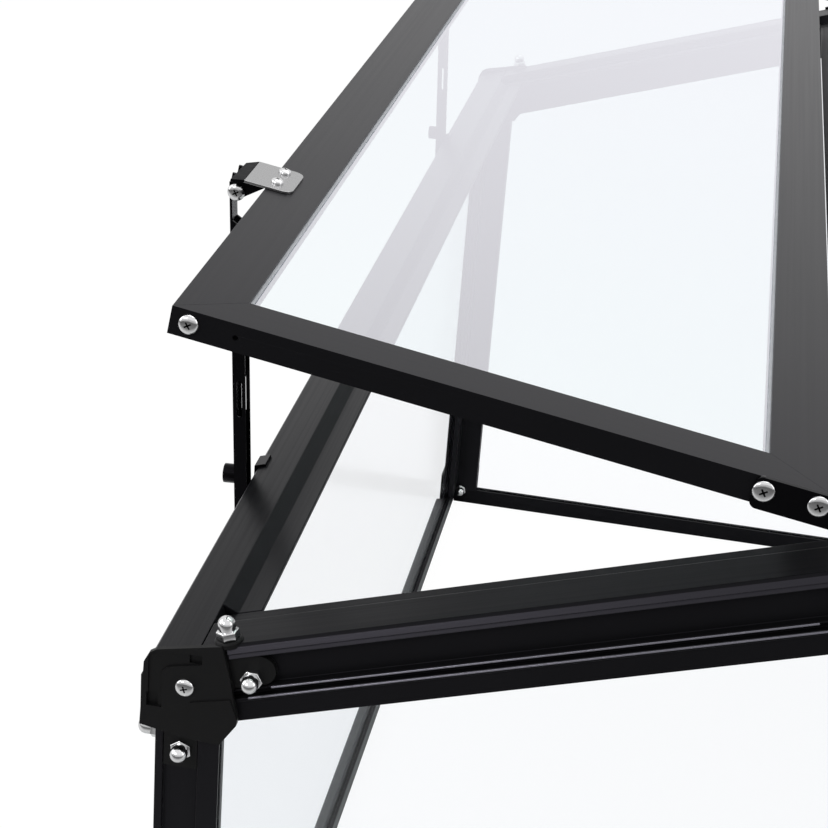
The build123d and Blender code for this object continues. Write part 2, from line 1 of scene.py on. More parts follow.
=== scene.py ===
# %% [markdown]
# A small glass greenhouse, or cold frame: slim black aluminium bars, clear panes,
# and two framed lids that stand open on slotted stays. The bars, panes and moulded
# fittings come from the solid model, which is loaded here as a fixed frame. This
# lesson gives them their finishes, rounds their edges, adds the screws and nuts that
# are too small for the solid model, and a pale strip round each lid pane that paints
# the highlight on the glass's edge.

from math import cos, pi, radians, sin

import bmesh
import bpy
from mathutils import Matrix, Vector


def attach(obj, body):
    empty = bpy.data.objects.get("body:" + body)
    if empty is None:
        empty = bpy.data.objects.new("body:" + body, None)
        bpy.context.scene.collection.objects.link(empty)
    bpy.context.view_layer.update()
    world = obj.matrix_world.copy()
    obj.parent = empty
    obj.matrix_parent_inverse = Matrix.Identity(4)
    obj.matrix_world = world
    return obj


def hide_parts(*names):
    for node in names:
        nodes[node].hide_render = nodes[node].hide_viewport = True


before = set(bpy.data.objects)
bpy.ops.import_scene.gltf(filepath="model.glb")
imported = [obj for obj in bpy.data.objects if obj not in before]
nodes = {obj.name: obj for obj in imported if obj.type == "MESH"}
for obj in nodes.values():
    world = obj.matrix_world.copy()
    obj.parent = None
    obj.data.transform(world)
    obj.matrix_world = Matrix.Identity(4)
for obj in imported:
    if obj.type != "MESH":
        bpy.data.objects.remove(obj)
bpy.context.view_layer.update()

# %% [markdown]
# The camera stands low at the near gable, as in the photograph. Its place and turn
# were worked out from the directions in which the bars run together, so the three
# rows below are simply its right, down and forward directions.

# %% Camera
CAMERA_PLACE = Vector((-0.1308, -1.468, 1.0593))
CAMERA_RIGHT = Vector((0.98223391, 0.17312321, 0.07242163))
CAMERA_DOWN = Vector((0.13761298, -0.40209702, -0.90519647))
CAMERA_FORWARD = Vector((-0.12759, 0.89908083, -0.41877733))

camera_data = bpy.data.cameras.new("camera")
camera_data.sensor_width = 36.0
camera_data.lens = 87.85
camera_data.clip_start = 0.01
camera = bpy.data.objects.new("camera", camera_data)
turn = Matrix((CAMERA_RIGHT, -CAMERA_DOWN, -CAMERA_FORWARD)).transposed()
camera.matrix_world = Matrix.Translation(CAMERA_PLACE) @ turn.to_4x4()
bpy.context.scene.collection.objects.link(camera)
bpy.context.scene.camera = camera
print("camera lens:", camera_data.lens)

# %% [markdown]
# Every finish starts from the same few shader nodes, so short helpers add a node,
# join two sockets, and map the object's own coordinates. A long narrow mapping
# draws streaks along a bar, as the die leaves them on an extrusion. Three more
# helpers give a noise, spread a value over a range, and turn a value into bumps.

# %% Shader helpers
def new_finish(name):
    finish = bpy.data.materials.new(name)
    finish.use_nodes = True
    finish.node_tree.nodes.clear()
    return finish


def add_node(owner, kind, **values):
    """Adds a node to a material or a world; each value is a setting or an input."""
    node = owner.node_tree.nodes.new(kind)
    for key, value in values.items():
        if hasattr(node, key):
            setattr(node, key, value)
        else:
            node.inputs[key.replace("_", " ")].default_value = value
    return node


def join(owner, start, end):
    owner.node_tree.links.new(start, end)


def show(finish, shader):
    out = add_node(finish, "ShaderNodeOutputMaterial")
    join(finish, shader, out.inputs["Surface"])


def own_place(finish, turn_by=(0, 0, 0), stretch=(1, 1, 1)):
    coords = add_node(finish, "ShaderNodeTexCoord")
    turned = add_node(finish, "ShaderNodeMapping", Rotation=turn_by)
    stretched = add_node(finish, "ShaderNodeMapping", Scale=stretch)
    join(finish, coords.outputs["Object"], turned.inputs["Vector"])
    join(finish, turned.outputs["Vector"], stretched.inputs["Vector"])
    return stretched.outputs["Vector"]


def noise(finish, scale, detail=2.0, place=None):
    texture = add_node(finish, "ShaderNodeTexNoise", Scale=scale, Detail=detail)
    if place is None:
        place = own_place(finish)
    join(finish, place, texture.inputs["Vector"])
    return texture.outputs["Fac"]


def spread(owner, value, low, high, start=0.0, end=1.0):
    spreader = add_node(
        owner, "ShaderNodeMapRange", From_Min=start, From_Max=end, To_Min=low, To_Max=high)
    join(owner, value, spreader.inputs["Value"])
    return spreader.outputs["Result"]


def bumps(finish, height, strength, distance, under=None):
    bump = add_node(finish, "ShaderNodeBump", Strength=strength, Distance=distance)
    join(finish, height, bump.inputs["Height"])
    if under is not None:
        join(finish, under, bump.inputs["Normal"])
    return bump.outputs["Normal"]


# %% [markdown]
# A dark coat is dull where it is looked at squarely, and turns grey at a glancing
# view. Layer Weight's facing value, raised to a power so that the change comes late,
# sets the shine. A viewer that leaves out this link gets one plain level.

# %% Glancing shine
FRAME_SHINE = (0.055, 1.05, 8)
LID_SHINE = (0.04, 0.3, 2)
RIB_SHINE = (0.3, 0.5, 4)
PLAIN_SHARE = 0.1


def glancing_shine(finish, shader, shine):
    """The least shine, how much a glancing view adds, and how late it comes."""
    least, added, lateness = shine
    facing = add_node(finish, "ShaderNodeLayerWeight", Blend=0.5)
    late = add_node(finish, "ShaderNodeMath", operation="POWER")
    late.inputs[1].default_value = lateness
    join(finish, facing.outputs["Facing"], late.inputs[0])
    level = add_node(finish, "ShaderNodeMath", operation="MULTIPLY_ADD")
    level.inputs[1].default_value = added
    level.inputs[2].default_value = least
    join(finish, late.outputs["Value"], level.inputs[0])
    shader.inputs["Specular IOR Level"].default_value = least + added * PLAIN_SHARE
    join(finish, level.outputs["Value"], shader.inputs["Specular IOR Level"])


# %% [markdown]
# Powder coat is a paint baked onto the aluminium. It is nearly black, with a fine
# orange-peel texture, and the streaks of the extrusion show through it faintly. The
# streaks have to run along each bar, so each direction of bar gets its own copy.

# %% Powder coat
ROOF_PITCH = radians(17.6)
LID_OPENING = radians(26.65)
LID_TILT = ROOF_PITCH - LID_OPENING
COAT_TINT = (0.86, 0.82, 1, 1)
LEVEL = (0, 0, 0)
ALONG_X = (3, 520, 520)
ALONG_Y = (520, 3, 520)
UPRIGHT = (520, 520, 3)


def powder_coat(
        name, turn_by, stretch, base=0.0085, rough=0.33, shine=FRAME_SHINE, streaks=1.0):
    finish = new_finish(name)
    coat = add_node(finish, "ShaderNodeBsdfPrincipled", Specular_Tint=COAT_TINT)
    glancing_shine(finish, coat, shine)
    streak = noise(finish, 1.0, 2.0, own_place(finish, turn_by, stretch))
    # the colour varies a little from place to place
    tone = spread(finish, noise(finish, 9.0, 3.0), 0.75, 1.25)
    paint = add_node(finish, "ShaderNodeMix", data_type="RGBA", blend_type="MULTIPLY", Factor=1.0)
    paint.inputs[6].default_value = (base, base, base * 1.12, 1)
    join(finish, tone, paint.inputs[7])
    join(finish, paint.outputs[2], coat.inputs["Base Color"])
    # the streaks change the gloss
    gloss = spread(
        finish, streak, rough - 0.05 * streaks, rough + 0.06 * streaks, start=0.3, end=0.7)
    join(finish, gloss, coat.inputs["Roughness"])
    peel = bumps(finish, noise(finish, 1400.0, 3.0), 0.12, 0.00015)
    die_lines = bumps(finish, streak, 0.14 * streaks, 0.00012, under=peel)
    join(finish, die_lines, coat.inputs["Normal"])
    show(finish, coat.outputs["BSDF"])
    return finish


coat_along_y = powder_coat("coat_along_ridge", LEVEL, ALONG_Y)
coat_along_x = powder_coat("coat_along_gable", LEVEL, ALONG_X)
coat_upright = powder_coat("coat_upright", LEVEL, UPRIGHT, 0.0125)
coat_lid_long = powder_coat("coat_lid_long", LEVEL, ALONG_Y, shine=LID_SHINE, streaks=0.3)
coat_rafter = {}
coat_lid = {}
coat_rib = {}
for side, across in (("left", 1), ("right", -1)):
    up_roof = (0, ROOF_PITCH * across, 0)
    up_lid = (0, LID_TILT * across, 0)
    coat_rafter[side] = powder_coat("coat_rafter_" + side, up_roof, ALONG_X)
    coat_rib[side] = powder_coat("coat_rib_" + side, up_roof, ALONG_X, shine=RIB_SHINE)
    coat_lid[side] = powder_coat(
        "coat_lid_" + side, up_lid, ALONG_X, shine=LID_SHINE, streaks=0.3)
# a much lighter, glossier coat: the painted highlight on the rafter beads' edges
coat_painted_highlight = powder_coat("coat_painted_highlight", LEVEL, (90, 90, 90), 0.12, 0.24, (1.6, 0.3, 4))
print("powder coats made")

# %% [markdown]
# The corner fittings are moulded in black nylon. It is as dark as the coat, a
# little rougher, and has the fine even grain of a spark-eroded mould.

# %% Moulded nylon
def moulded_nylon(name):
    finish = new_finish(name)
    plastic = add_node(
        finish, "ShaderNodeBsdfPrincipled", Base_Color=(0.0095, 0.0095, 0.0099, 1))
    glancing_shine(finish, plastic, (0.1, 0.9, 6))
    gloss = spread(finish, noise(finish, 60.0), 0.36, 0.5)
    join(finish, gloss, plastic.inputs["Roughness"])
    grain = bumps(finish, noise(finish, 2200.0), 0.2, 0.0001)
    join(finish, grain, plastic.inputs["Normal"])
    show(finish, plastic.outputs["BSDF"])
    return finish


nylon = moulded_nylon("black_nylon")

# %% [markdown]
# The screws, nuts and stay brackets are plated steel, bright but with faint polish
# marks. The folded stays have a glossier black coat than the frame. A deep black
# without gloss paints the shade in the recesses of the screws, and the dark
# reflection on the brackets' sloped flanges.

# %% Plated steel and the other blacks
def plated_steel(name, stretch, base, rough):
    finish = new_finish(name)
    steel = add_node(
        finish, "ShaderNodeBsdfPrincipled", Base_Color=(base, base, base * 1.01, 1), Metallic=1.0)
    marks = noise(finish, 1.0, 3.0, own_place(finish, LEVEL, stretch))
    gloss = spread(finish, marks, rough * 0.6, rough * 1.5)
    join(finish, gloss, steel.inputs["Roughness"])
    join(finish, bumps(finish, marks, 0.06, 0.0001), steel.inputs["Normal"])
    show(finish, steel.outputs["BSDF"])
    return finish


bright_screw = plated_steel("bright_screw", (500, 500, 500), 0.72, 0.16)
bright_bracket = plated_steel("bright_bracket", (900, 40, 900), 0.36, 0.24)
# painted shade for the screw recesses, and a painted dark reflection for the bracket flanges
painted_shade_and_reflection_black = powder_coat("painted_shade_and_reflection_black", LEVEL, (300, 300, 300), 0.002, 0.5, (0.04, 0.2, 5))
gloss_black = powder_coat("gloss_black", LEVEL, (200, 200, 12), 0.003, 0.2, (0.06, 0.8, 5))
print("metals made")

# %% [markdown]
# Glass is clear where it is looked at squarely and turns into a pale mirror at a
# low angle, so what lies behind the open lid looks veiled. The panes in the walls
# are seen more squarely and stay clear, so they get a copy with less mirror. A mix
# of a clear and a glossy shader gives this, with Layer Weight's facing value as the
# share. Only the face that is met first counts, or the veil would be drawn twice.

# %% Glass
def clear_glass(name, tint, mirror_tint, least, most):
    finish = new_finish(name)
    clear = add_node(finish, "ShaderNodeBsdfTransparent", Color=tint)
    mirror = add_node(finish, "ShaderNodeBsdfGlossy", Color=mirror_tint)
    gloss = spread(finish, noise(finish, 7.0), 0.12, 0.2)
    join(finish, gloss, mirror.inputs["Roughness"])
    facing = add_node(finish, "ShaderNodeLayerWeight", Blend=0.5)
    share = spread(finish, facing.outputs["Facing"], least, most, end=0.9)
    side = add_node(finish, "ShaderNodeNewGeometry")
    front = add_node(finish, "ShaderNodeMath", operation="SUBTRACT")
    front.inputs[0].default_value = 1.0
    join(finish, side.outputs["Backfacing"], front.inputs[1])
    once = add_node(finish, "ShaderNodeMath", operation="MULTIPLY")
    join(finish, share, once.inputs[0])
    join(finish, front.outputs["Value"], once.inputs[1])
    mixed = add_node(finish, "ShaderNodeMixShader")
    join(finish, once.outputs["Value"], mixed.inputs["Fac"])
    join(finish, clear.outputs["BSDF"], mixed.inputs[1])
    join(finish, mirror.outputs["BSDF"], mixed.inputs[2])
    show(finish, mixed.outputs["Shader"])
    return finish


lid_glass = clear_glass("lid_glass", (0.92, 0.985, 0.955, 1), (0.935, 0.93, 0.99, 1), 0.05, 0.94)
wall_glass = clear_glass("wall_glass", (0.985, 0.99, 0.997, 1), (0.95, 0.96, 0.99, 1), 0.02, 0.2)
print("glass made")

# %% [markdown]
# Each node of the solid model now gets its finish by its name. A bar's corners
# catch the light on the real thing because no edge is perfectly sharp: a Weld
# joins the loose triangles and a narrow Bevel rounds the edges over.

# %% Dress the solid model
SMALL_EDGE = 0.0003
BAR_EDGE = 0.0006


def finish_for(name):
    side = "left" if "left" in name else "right"
    if "pane" in name:
        return lid_glass if name.startswith("lid") else wall_glass
    if "fitting" in name:
        return nylon
    if "stay_brackets" in name:
        return bright_bracket
    if name.startswith(("stay_", "hinge_")) or "hinge_plates" in name or "lugs" in name:
        return gloss_black
    if name.startswith("post"):
        return coat_upright
    if name.startswith("rafter"):
        return coat_rafter[side]
    if name.startswith("lid") and ("near" in name or "far" in name):
        return coat_lid[side]
    if name.startswith("lid"):
        return coat_lid_long
    if name in ("bottom_rail_near", "bottom_rail_far"):
        return coat_along_x
    return coat_along_y


def soften(piece, width):
    weld = piece.modifiers.new("weld", "WELD")
    weld.merge_threshold = 0.00001
    edge = piece.modifiers.new("edge", "BEVEL")
    edge.width = width
    edge.segments = 2
    edge.limit_method = "ANGLE"
    edge.angle_limit = radians(28)
    edge.harden_normals = True


for name, piece in nodes.items():
    piece.data.materials.clear()
    piece.data.materials.append(finish_for(name))
    if "pane" not in name:
        small = "stay" in name or "hinge" in name or name.startswith("lid")
        soften(piece, SMALL_EDGE if small else BAR_EDGE)
print("nodes dressed:", len(nodes))

# %% [markdown]
# Small parts are built once, standing on the origin with their axis up, and then
# copied to each place. These helpers aim a copy along an axis, spin a profile, sweep
# an outline along a line, and turn a finished bmesh into a named piece that rides on
# its body.

# %% Piece helpers
def aim(place, axis, spin=0.0):
    turned = Vector(axis).to_track_quat("Z", "Y").to_matrix().to_4x4()
    return Matrix.Translation(Vector(place)) @ turned @ Matrix.Rotation(spin, 4, "Z")


def stamp(target, pattern, matrix):
    """Adds a copy of the pattern mesh to the target bmesh."""
    start = len(target.verts)
    target.from_mesh(pattern)
    target.verts.ensure_lookup_table()
    fresh = target.verts[start:]
    bmesh.ops.transform(target, matrix=matrix, verts=fresh)


def as_mesh(name, shape):
    mesh = bpy.data.meshes.new(name)
    shape.to_mesh(mesh)
    shape.free()
    return mesh


def show_object(name, mesh):
    piece = bpy.data.objects.new(name, mesh)
    bpy.context.scene.collection.objects.link(piece)
    return piece


def make_piece(name, shape, finish, body, smooth=40, second_finish=None):
    bmesh.ops.recalc_face_normals(shape, faces=shape.faces)
    for face in shape.faces:
        face.smooth = True
    mesh = as_mesh(name, shape)
    mesh.set_sharp_from_angle(angle=radians(smooth))
    mesh.materials.append(finish)
    if second_finish is not None:
        mesh.materials.append(second_finish)
    piece = show_object(name, mesh)
    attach(piece, body)
    return piece


def lathe(shape, profile, steps=32):
    """Spins a profile of (radius, height) points about the Z axis."""
    points = [shape.verts.new((r, 0, h)) for r, h in profile]
    lines = [shape.edges.new(pair) for pair in zip(points, points[1:])]
    bmesh.ops.spin(
        shape,
        geom=points + lines,
        axis=(0, 0, 1),
        cent=(0, 0, 0),
        dvec=(0, 0, 0),
        angle=2 * pi,
        steps=steps,
        use_merge=True,
        use_duplicate=False,
    )
    bmesh.ops.remove_doubles(shape, verts=shape.verts, dist=0.000001)


def sweep(shape, ring, way):
    """Closes a ring of places into a face and sweeps it along a line to a solid."""
    start = shape.faces.new([shape.verts.new(place) for place in ring])
    swept = bmesh.ops.extrude_face_region(shape, geom=[start])
    moved = [v for v in swept["geom"] if isinstance(v, bmesh.types.BMVert)]
    bmesh.ops.translate(shape, verts=moved, vec=way)


# %% [markdown]
# A cap nut is a hexagon with a domed top. The hexagon is a six-sided cone with
# equal ends and bevelled rims, and the dome is spun. Two of the nuts on each corner
# stand on a short black collar.

# %% Cap nut
HEX_CORNER = 0.577  # corner radius of a hexagon, as a share of its width over flats


def cap_nut_pattern(across=0.0106, hex_tall=0.0048, dome=0.0047, tall=0.0126):
    shape = bmesh.new()
    hexagon = bmesh.ops.create_cone(
        shape,
        cap_ends=True,
        segments=6,
        radius1=across * HEX_CORNER,
        radius2=across * HEX_CORNER,
        depth=hex_tall,
    )
    bmesh.ops.translate(shape, verts=hexagon["verts"], vec=(0, 0, hex_tall / 2))
    # a rim's edge lies flat, an upright edge doesn't
    rims = [e for e in shape.edges if abs(e.verts[0].co.z - e.verts[1].co.z) < 0.0001]
    bmesh.ops.bevel(
        shape,
        geom=rims,
        offset=0.0006,
        affect="EDGES",
        segments=3,
        profile=0.5,
        material=-1,
    )
    neck = tall - dome
    arc = [
        (dome * cos(a), neck + dome * sin(a))
        for a in [pi / 2 * step / 10 for step in range(10)]
    ]
    root = [(dome * 0.94, hex_tall * 0.9), (dome, hex_tall + 0.0005)]
    lathe(shape, root + arc + [(0, tall)])
    return as_mesh("cap_nut_pattern", shape)


COLLAR_TALL = 0.004


def collar_pattern():
    shape = bmesh.new()
    lathe(shape, [
        (0, 0), (0.0064, 0), (0.0064, COLLAR_TALL - 0.0006),
        (0.0058, COLLAR_TALL), (0, COLLAR_TALL)])
    return as_mesh("collar_pattern", shape)


cap_nut = cap_nut_pattern()
collar = collar_pattern()
print("cap nut faces:", len(cap_nut.polygons))

# %% [markdown]
# A pan head is a low dome with a cross recess for the screwdriver. The dome is
# spun, and the recess is cut with a Boolean from a cross of two thin wedges. Its
# faces, which lie below the dome, get the second finish, a deep black that paints
# the shade in the recess.

# %% Pan head
def pan_head_pattern(name, radius, tall):
    shape = bmesh.new()
    rim = tall * 0.25
    arc = [
        (radius * cos(a) ** 0.75, rim + (tall - rim) * sin(a))
        for a in [pi / 2 * step / 9 for step in range(9)]
    ]
    lathe(shape, [(0, 0), (radius * 0.97, 0)] + arc + [(0, tall)], 40)
    bmesh.ops.recalc_face_normals(shape, faces=shape.faces)
    head = show_object(name, as_mesh(name, shape))
    cutter_shape = bmesh.new()
    for along in (0, 1):
        arm = bmesh.ops.create_cube(cutter_shape, size=1.0)
        size = (radius, radius * 0.2, tall)
        bmesh.ops.scale(cutter_shape, verts=arm["verts"], vec=size)
        low = [v for v in arm["verts"] if v.co.z < 0]
        bmesh.ops.scale(cutter_shape, verts=low, vec=(0.45, 0.6, 1))
        turned = Matrix.Rotation(along * pi / 2, 4, "Z")
        bmesh.ops.transform(cutter_shape, matrix=turned, verts=arm["verts"])
    bmesh.ops.translate(cutter_shape, verts=cutter_shape.verts, vec=(0, 0, tall * 0.88))
    cutter = show_object(name + "_cutter", as_mesh(name + "_cutter", cutter_shape))
    cut = head.modifiers.new("cut", "BOOLEAN")
    cut.operation = "DIFFERENCE"
    cut.use_self = True
    cut.object = cutter
    bpy.context.view_layer.update()
    finished = bpy.data.meshes.new_from_object(
        head.evaluated_get(bpy.context.evaluated_depsgraph_get()))
    bpy.data.objects.remove(head)
    bpy.data.objects.remove(cutter)
    for face in finished.polygons:
        out = Vector((face.center.x, face.center.y)).length / radius
        domed = rim + (tall - rim) * (1 - min(out, 1) ** (8 / 3)) ** 0.5
        if out < 0.6 and tall * 0.1 < face.center.z < domed - tall * 0.07:
            # the recess faces get the black that paints the shade in the recess
            face.material_index = 1
    print(name, "faces:", len(finished.polygons))
    return finished


pan_head = pan_head_pattern("pan_head_pattern", 0.0052, 0.0030)
small_head = pan_head_pattern("small_head_pattern", 0.0037, 0.0025)
big_head = pan_head_pattern("big_head_pattern", 0.0056, 0.0022)

# %% [markdown]
# The fasteners sit at the same places on all four corners, so each is written once
# for the left near corner and mirrored. A mirrored place keeps the same pattern,
# with its axis mirrored too.

# %% Fasteners at the corners
SIDES = [("left", 1), ("right", -1)]
CORNERS = [
    (side + end_name, across, along)
    for side, across in SIDES
    for end_name, along in (("_near", 1), ("_far", -1))]
TO_NEAR = Vector((0, -1, 0))
HALF_WIDTH = 0.382
HALF_LENGTH = 0.6
EAVE_HEIGHT = 0.497


def from_corner(x, y, z):
    """Millimetres from the left near end of the eave: inwards, along and up."""
    return Vector((x / 1000 - HALF_WIDTH, y / 1000 - HALF_LENGTH, z / 1000 + EAVE_HEIGHT))


def mirrored(vector, across, along):
    return Vector((vector[0] * across, vector[1] * along, vector[2]))


CORNER_NUTS = [
    (from_corner(55, 1.8, -4.2), TO_NEAR, 0.5),
    (from_corner(17.6, 5.4, -56.2), TO_NEAR, 0.1),
    (from_corner(3, 15, -53), (-1, 0, 0), 0.3),
    (from_corner(21, 15, -479), (0, 1, 0), 0.2),
]
# the first two nuts stand on short black collars in the channels
NUT_COLLARS = [(from_corner(55, 5, -4.2), 0.0034), (from_corner(17.6, 9, -56.2), 0.0038)]
CORNER_HEAD = from_corner(20.2, -3, -13.5)
for corner, across, along in CORNERS:
    shape = bmesh.new()
    for place, axis, spin in CORNER_NUTS:
        matrix = aim(mirrored(place, across, along), mirrored(axis, across, along), spin)
        stamp(shape, cap_nut, matrix)
    make_piece("corner_nuts_" + corner, shape, bright_screw, "frame")
    shape = bmesh.new()
    out_of_gable = mirrored(TO_NEAR, across, along)
    stamp(shape, pan_head, aim(mirrored(CORNER_HEAD, across, along), out_of_gable, 0.3))
    # the second finish paints the shade in the cross recess
    make_piece(
        "corner_heads_" + corner, shape, bright_screw, "frame",
        second_finish=painted_shade_and_reflection_black)
    shape = bmesh.new()
    for place, tall in NUT_COLLARS:
        matrix = aim(mirrored(place, across, along), out_of_gable)
        stamp(shape, collar, matrix @ Matrix.Diagonal((1, 1, tall / COLLAR_TALL, 1)))
    make_piece("corner_collars_" + corner, shape, nylon, "frame")
print("corner fasteners placed")

# %% [markdown]
# The roof bolt stands upright on each corner, a cap nut on a small black boss.

# %% Roof bolts
ROOF_BOLT = from_corner(41, 5, 12.2)
BOLT_LEAN = radians(10)
BOSS_TALL = 0.003
BOSS_PROFILE = [
    (0, 0), (0.0075, 0), (0.0075, 0.0022), (0.0068, BOSS_TALL), (0, BOSS_TALL)]
for corner, across, along in CORNERS:
    axis = Vector((-sin(BOLT_LEAN) * across, 0, cos(BOLT_LEAN)))
    place = mirrored(ROOF_BOLT, across, along)
    shape = bmesh.new()
    stamp(shape, cap_nut, aim(place + axis * BOSS_TALL, axis, 0.4))
    make_piece("roof_bolt_" + corner, shape, bright_screw, "frame")
    shape = bmesh.new()
    lathe(shape, BOSS_PROFILE)
    bmesh.ops.transform(shape, matrix=aim(place, axis), verts=shape.verts)
    make_piece("roof_boss_" + corner, shape, nylon, "frame")
print("roof bolts placed")

# %% [markdown]
# The lip of each rafter has two fine ribs that face upwards and catch the light.
# They run from the corner fitting to the ridge. Below them, a thin strip along the
# edge of each of the two beads has a lighter, glossier coat: a painted highlight.
# Each is an outline that is swept up the slope.

# %% Rafter ribs
RIB_OUTLINE = [
    (0.5, -1.2), (0, -1.5), (-1.5, -4.2), (-1.5, -4.4), (-0.1, -4.8),
    (-1.2, -6.9), (-1.2, -7.1), (-0.1, -7.5), (0.5, -7.5)]
SLOPE_LENGTH = HALF_WIDTH * 1000 / cos(ROOF_PITCH)


def on_roof(s, y, v):
    """Millimetres up the slope from the eave's corner, along, and off the roof."""
    x = s * cos(ROOF_PITCH) - v * sin(ROOF_PITCH)
    return from_corner(x, y, s * sin(ROOF_PITCH) + v * cos(ROOF_PITCH))


def sweep_up(shape, outline, start, across, along):
    """Sweeps an outline up a rafter, from start to as far short of the ridge."""
    ring = [mirrored(on_roof(start, y, v), across, along) for y, v in outline]
    up_slope = Vector((cos(ROOF_PITCH) * across, 0, sin(ROOF_PITCH)))
    sweep(shape, ring, up_slope * (SLOPE_LENGTH - 2 * start) / 1000)


RIB_START = 42.5
BEADS = [("upper", -26.2, 60), ("lower", -31.1, 46)]
for corner, across, along in CORNERS:
    shape = bmesh.new()
    sweep_up(shape, RIB_OUTLINE, RIB_START, across, along)
    finish = coat_rib["left" if across > 0 else "right"]
    rib = make_piece("rafter_ribs_" + corner, shape, finish, "frame", 20)
    soften(rib, 0.0002)
    # a thin strip along each bead's edge carries the painted highlight coat
    for place, top, start in BEADS:
        shape = bmesh.new()
        outline = [
            (0.6, top), (0, top - 0.05), (-0.25, top - 0.25), (-0.35, top - 0.6),
            (-0.2, top - 1.0), (0.6, top - 1.1)]
        sweep_up(shape, outline, start, across, along)
        name = "rafter_bead_highlight_" + place + "_" + corner
        make_piece(name, shape, coat_painted_highlight, "frame", 60)
print("rafter ribs swept")

# %% [markdown]
# Each lid has a screw at its low corners, two at each hinge plate, and two small
# ones on each stay bracket. They are given in the lid's own directions: along its
# slope from the low edge, and up from its underside.

# %% Lid fasteners
LID_LOW = Vector((-0.3806452, 0, 0.6733072))
LID_ALONG = Vector((cos(LID_TILT), 0, sin(LID_TILT)))
LID_UP = Vector((-sin(LID_TILT), 0, cos(LID_TILT)))


def on_lid(along, y, up):
    return LID_LOW + LID_ALONG * along + LID_UP * up + Vector((0, y, 0))


BRACKET_UP = 0.0150
BRACKET_THICK = 0.0016
BRACKET_TOP = BRACKET_UP + BRACKET_THICK
LID_SCREWS = [
    (on_lid(0.0098, -0.586, 0.0079), pan_head, TO_NEAR),
    (on_lid(0.298, -0.5885, 0.0086), big_head, TO_NEAR),
    (on_lid(0.325, -0.5885, 0.0090), big_head, TO_NEAR),
    (on_lid(0.0045, -0.3691, BRACKET_TOP), small_head, LID_UP),
    (on_lid(0.0045, -0.388, BRACKET_TOP), small_head, LID_UP),
    (on_lid(-0.0175, -0.3881, 0.0045), pan_head, TO_NEAR),
]
for side, across in SIDES:
    shape = bmesh.new()
    for along in (1, -1):
        for place, pattern, axis in LID_SCREWS:
            matrix = aim(mirrored(place, across, along), mirrored(axis, across, along), 0.5)
            stamp(shape, pattern, matrix)
    # the second finish paints the shade in the cross recesses
    make_piece(
        "lid_screws_" + side, shape, bright_screw, "lid_" + side,
        second_finish=painted_shade_and_reflection_black)
print("lid fasteners placed")

# %% [markdown]
# Each stay hangs from a bent bracket on the lid: a bright plate with two rounded
# corners, and a flange along its outer edge that slopes down a little. The flange is
# the same steel, painted black for the dark reflection it shows. Both are slabs
# given by their corners, along the lid, across it and up from it.

# %% Stay brackets
PLATE_OUT = -0.0126
PLATE_IN = 0.0155
PLATE_NEAR = -0.3985
PLATE_FAR = -0.3620
ROUND = 0.006


def rounded_corner(y, turn):
    """Seven points round an inner corner of the plate, from along y or towards it."""
    arc = [pi / 2 * step / 6 for step in range(7)]
    if turn > 0:
        return [
            (PLATE_IN - ROUND + ROUND * sin(a), y + ROUND - ROUND * cos(a)) for a in arc]
    return [(PLATE_IN - ROUND + ROUND * cos(a), y - ROUND + ROUND * sin(a)) for a in arc]


plate_corners = [(PLATE_OUT, PLATE_NEAR)] + rounded_corner(PLATE_NEAR, 1)
plate_corners += rounded_corner(PLATE_FAR, -1) + [(PLATE_OUT, PLATE_FAR)]
plate_ring = [on_lid(inwards, y, BRACKET_UP) for inwards, y in plate_corners]
flange_ring = [
    on_lid(-0.0205, PLATE_NEAR, BRACKET_UP - 0.0016), on_lid(PLATE_OUT, PLATE_NEAR, BRACKET_UP),
    on_lid(PLATE_OUT, PLATE_FAR, BRACKET_UP), on_lid(-0.0195, -0.3665, BRACKET_UP - 0.0014)]


def bracket_piece(name, ring, finish, side, across):
    shape = bmesh.new()
    for along in (1, -1):
        mirrored_ring = [mirrored(place, across, along) for place in ring]
        sweep(shape, mirrored_ring, mirrored(LID_UP, across, along) * BRACKET_THICK)
    piece = make_piece(name + side, shape, finish, "lid_" + side, 25)
    soften(piece, SMALL_EDGE)
    return piece


for side, across in SIDES:
    plates = bracket_piece(
        "stay_bracket_plates_", plate_ring, bright_bracket, side, across)
    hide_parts("lid_" + side + "_stay_brackets")
    # the flange is painted black: a painted dark reflection on the steel
    bracket_piece(
        "stay_bracket_flanges_", flange_ring, painted_shade_and_reflection_black, side, across)
print("stay brackets built")

# %% [markdown]
# A sill runs along the foot of each side wall, just outside the bottom rail. Its
# outline has a sloped outer shoulder and is swept from one foot to the other.

# %% Side sills
SILL_OUTLINE = [
    (-3, 0.4), (-3, 14.6), (-2.2, 16.4), (-0.6, 17), (3.2, 17), (3.2, 0.4)]
SILL_START = 0.045 - HALF_LENGTH
for side, across in SIDES:
    shape = bmesh.new()
    ring = [
        mirrored((x / 1000 - HALF_WIDTH, SILL_START, z / 1000), across, 1)
        for x, z in SILL_OUTLINE]
    sweep(shape, ring, (0, -2 * SILL_START, 0))
    sill = make_piece("side_sill_" + side, shape, coat_along_y, "frame", 25)
    soften(sill, 0.0004)
print("sills built")

# %% [markdown]
# A thin pale strip round the opening, raised a little over the pane, paints the light line that
# the glass's edge shows there: a painted highlight.

# %% Lid edge highlights
def edge_highlight_finish(name):
    finish = new_finish(name)
    # a pale, mottled grey: the painted highlight of the glass's edge
    highlight_strip = add_node(finish, "ShaderNodeBsdfPrincipled", Roughness=0.55)
    shade = add_node(finish, "ShaderNodeValToRGB")
    shade.color_ramp.elements[0].color = (0.42, 0.44, 0.47, 1)
    shade.color_ramp.elements[1].color = (0.6, 0.62, 0.65, 1)
    join(finish, noise(finish, 120.0), shade.inputs["Fac"])
    join(finish, shade.outputs["Color"], highlight_strip.inputs["Base Color"])
    show(finish, highlight_strip.outputs["BSDF"])
    return finish


